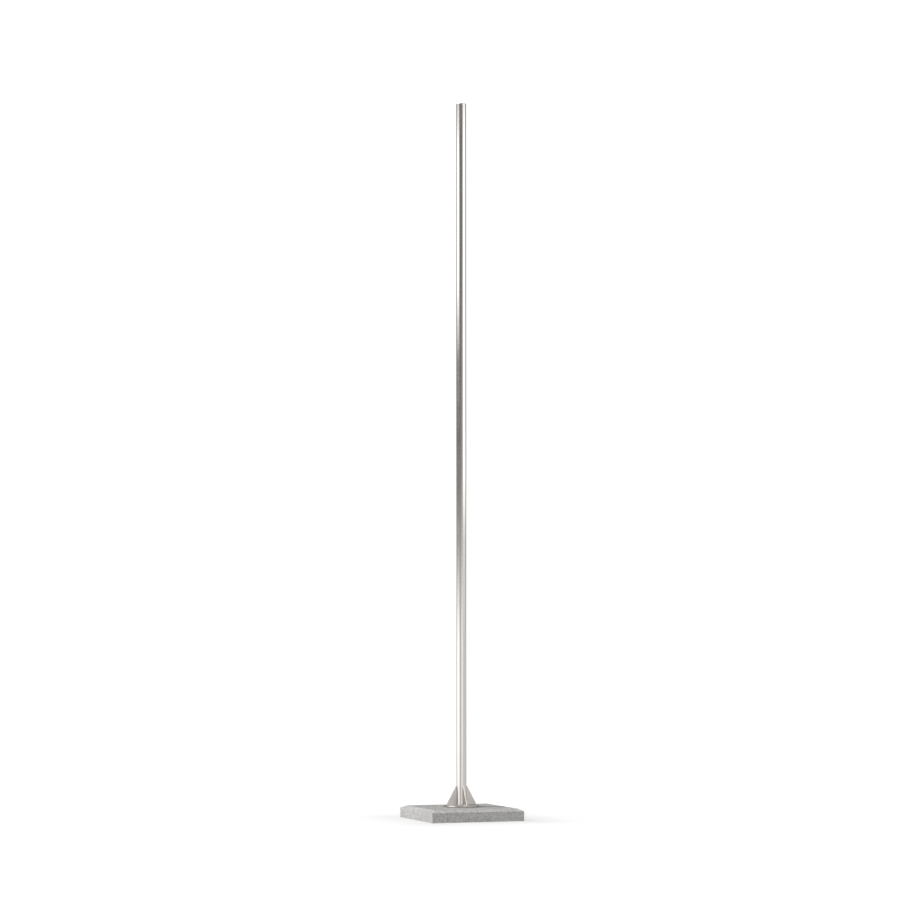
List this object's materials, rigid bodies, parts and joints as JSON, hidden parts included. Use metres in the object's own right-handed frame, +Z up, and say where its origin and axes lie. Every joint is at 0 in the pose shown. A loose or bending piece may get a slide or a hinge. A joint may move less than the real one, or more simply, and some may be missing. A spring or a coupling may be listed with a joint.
{
  "type": "flag pole stand",
  "caption": "Tall straight satin steel pole welded to a round gusseted plate and screwed to a square bevelled concrete slab, to hold a flag upright.",
  "frame": {"origin": "centre of the slab's underside, on the pole's axis at floor level", "axes": "+Z up along the pole; X and Y along the slab's sides, with the front at -Y"},
  "size_m": [0.4, 0.4, 3.008],
  "materials": {
    "concrete": "matte",
    "satin_stainless": "satin",
    "weld_metal": "satin",
    "screw_steel": "satin",
    "socket_steel": "satin",
    "mesh_wire": "matte"
  },
  "bodies": {
    "root": {"concrete_slab": "concrete", "reinforcing_mesh": "mesh_wire", "anchor_sockets": "socket_steel", "base_flange": "satin_stainless", "flange_screws": "screw_steel", "pole_tube": "satin_stainless", "pole_end_cap": "satin_stainless", "tube_weld": "weld_metal", "gusset_welds": "weld_metal", "gusset_front": "satin_stainless", "gusset_right": "satin_stainless", "gusset_back": "satin_stainless", "gusset_left": "satin_stainless"}
  },
  "joints": []
}
